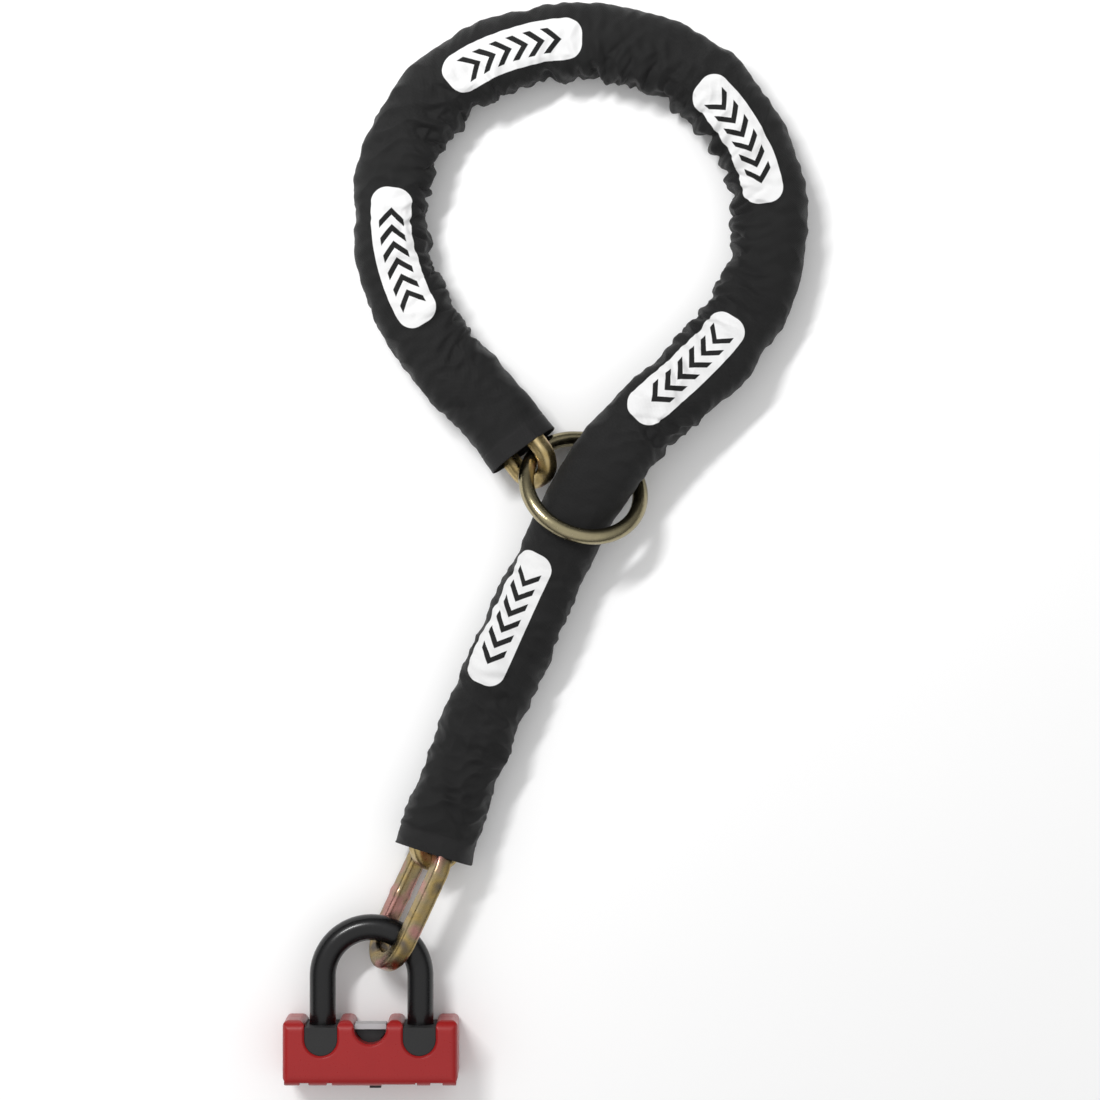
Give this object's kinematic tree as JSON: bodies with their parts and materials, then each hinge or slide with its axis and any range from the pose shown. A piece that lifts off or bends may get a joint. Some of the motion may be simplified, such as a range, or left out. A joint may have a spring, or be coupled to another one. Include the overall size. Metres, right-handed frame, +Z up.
{
  "type": "chain lock",
  "caption": "Square-link security chain in a black woven sleeve, looped through its own end ring, with a U shackle and a red two-leg lock body.",
  "frame": {"origin": "bottom centre of the whole laid-out object", "axes": "+Z up from the surface it lies on, +Y from the lock body towards the loop, +X to the right seen from above"},
  "size_m": [0.317, 0.6552, 0.052],
  "materials": {
    "zinc_steel": "yellow zinc plate",
    "ring_steel": "yellow zinc plate",
    "woven_sleeve": "black woven textile",
    "red_cover": "moulded red plastic",
    "black_vinyl": "black vinyl coat",
    "hard_steel": "hardened steel",
    "case_steel": "blackened steel",
    "seal_rubber": "moulded",
    "grey_plastic": "moulded",
    "black_plastic": "moulded",
    "brass_parts": "turned",
    "screw_steel": "zinc plated"
  },
  "bodies": {
    "loop": {"link_01": "zinc_steel", "link_02": "zinc_steel", "link_03": "zinc_steel", "link_04": "zinc_steel", "link_05": "zinc_steel", "link_06": "zinc_steel", "link_07": "zinc_steel", "link_08": "zinc_steel", "link_09": "zinc_steel", "link_10": "zinc_steel", "link_11": "zinc_steel", "link_12": "zinc_steel", "link_13": "zinc_steel", "link_14": "zinc_steel", "link_15": "zinc_steel", "link_16": "zinc_steel", "sleeve_01": "woven_sleeve", "sleeve_02": "woven_sleeve", "sleeve_03": "woven_sleeve", "sleeve_04": "woven_sleeve", "sleeve_05": "woven_sleeve", "sleeve_06": "woven_sleeve", "sleeve_07": "woven_sleeve", "sleeve_08": "woven_sleeve", "sleeve_09": "woven_sleeve", "sleeve_10": "woven_sleeve", "sleeve_11": "woven_sleeve", "sleeve_12": "woven_sleeve", "sleeve_13": "woven_sleeve", "sleeve_14": "woven_sleeve", "sleeve_15": "woven_sleeve", "sleeve_16": "woven_sleeve"},
    "ring": {"ring": "ring_steel"},
    "tail_17": {"link_17": "zinc_steel", "sleeve_17": "woven_sleeve"},
    "tail_18": {"link_18": "zinc_steel", "sleeve_18": "woven_sleeve"},
    "tail_19": {"link_19": "zinc_steel", "sleeve_19": "woven_sleeve"},
    "tail_20": {"link_20": "zinc_steel", "sleeve_20": "woven_sleeve"},
    "tail_21": {"link_21": "zinc_steel", "sleeve_21": "woven_sleeve"},
    "end_link": {"end_link": "zinc_steel"},
    "shackle": {"shackle_core": "hard_steel", "shackle_coat": "black_vinyl"},
    "lock": {"cover_front": "red_cover", "cover_back": "red_cover", "cover_screws": "screw_steel", "lock_case": "case_steel", "leg_seals": "seal_rubber", "notch_bar": "grey_plastic", "cylinder_housing": "brass_parts"},
    "plug": {"cylinder_plug": "brass_parts", "detainer_discs": "brass_parts", "drive_cam": "hard_steel"},
    "bolt_left": {"bolt_left": "hard_steel"},
    "bolt_right": {"bolt_right": "hard_steel"},
    "keyhole_cover": {"keyhole_cover": "black_plastic"}
  },
  "joints": [
    {"name": "ring_turn", "type": "hinge", "parent": "loop", "child": "ring", "pos_m": [0.0218, 0.03263, 0.02615], "axis": [0.2438, 0.5425, 0.8039], "continuous": true},
    {"name": "tail_bend_17", "type": "hinge", "parent": "loop", "child": "tail_17", "pos_m": [0.02199, 0.02703, 0.0273], "axis": [0, 0, 1], "range_deg": [-5, 5], "deforming": ["sleeve_16", "sleeve_17"]},
    {"name": "tail_bend_18", "type": "hinge", "parent": "tail_17", "child": "tail_18", "pos_m": [0.00188, -0.01419, 0.0185], "axis": [0, 0, 1], "range_deg": [-15, 15], "deforming": ["sleeve_17", "sleeve_18"]},
    {"name": "tail_bend_19", "type": "hinge", "parent": "tail_18", "child": "tail_19", "pos_m": [-0.01763, -0.05662, 0.0185], "axis": [0, 0, 1], "range_deg": [-15, 15], "deforming": ["sleeve_18", "sleeve_19"]},
    {"name": "tail_bend_20", "type": "hinge", "parent": "tail_19", "child": "tail_20", "pos_m": [-0.03648, -0.09935, 0.0185], "axis": [0, 0, 1], "range_deg": [-15, 15], "deforming": ["sleeve_19", "sleeve_20"]},
    {"name": "tail_bend_21", "type": "hinge", "parent": "tail_20", "child": "tail_21", "pos_m": [-0.05435, -0.1425, 0.0185], "axis": [0, 0, 1], "range_deg": [-15, 15], "deforming": ["sleeve_20", "sleeve_21"]},
    {"name": "end_link_swing", "type": "hinge", "parent": "tail_21", "child": "end_link", "pos_m": [-0.06836, -0.18694, 0.022], "axis": [0, 0, 1], "range_deg": [-12, 12], "deforming": ["sleeve_21"]},
    {"name": "shackle_swing", "type": "hinge", "parent": "end_link", "child": "shackle", "pos_m": [-0.09037, -0.23715, 0.0215], "axis": [-0.848, 0.5299, 0], "range_deg": [-20, 40]},
    {"name": "lock_slide", "type": "slide", "parent": "shackle", "child": "lock", "axis": [0, -1, 0], "range_m": [0, 0.038]},
    {"name": "plug_turn", "type": "hinge", "parent": "lock", "child": "plug", "pos_m": [-0.106, -0.32302, 0.0215], "axis": [0, -1, 0], "range_deg": [0, 90]},
    {"name": "bolt_left_travel", "type": "slide", "parent": "lock", "child": "bolt_left", "axis": [-1, 0, 0], "range_m": [0, 0.005]},
    {"name": "bolt_right_travel", "type": "slide", "parent": "lock", "child": "bolt_right", "axis": [1, 0, 0], "range_m": [0, 0.005]},
    {"name": "keyhole_cover_slide", "type": "slide", "parent": "lock", "child": "keyhole_cover", "axis": [-1, 0, 0], "range_m": [0, 0.016]}
  ],
  "couplings": [
    {"joint": "bolt_left_travel", "follows": "plug_turn", "m_per_rad": 0.003119},
    {"joint": "bolt_right_travel", "follows": "plug_turn", "m_per_rad": 0.003119}
  ]
}
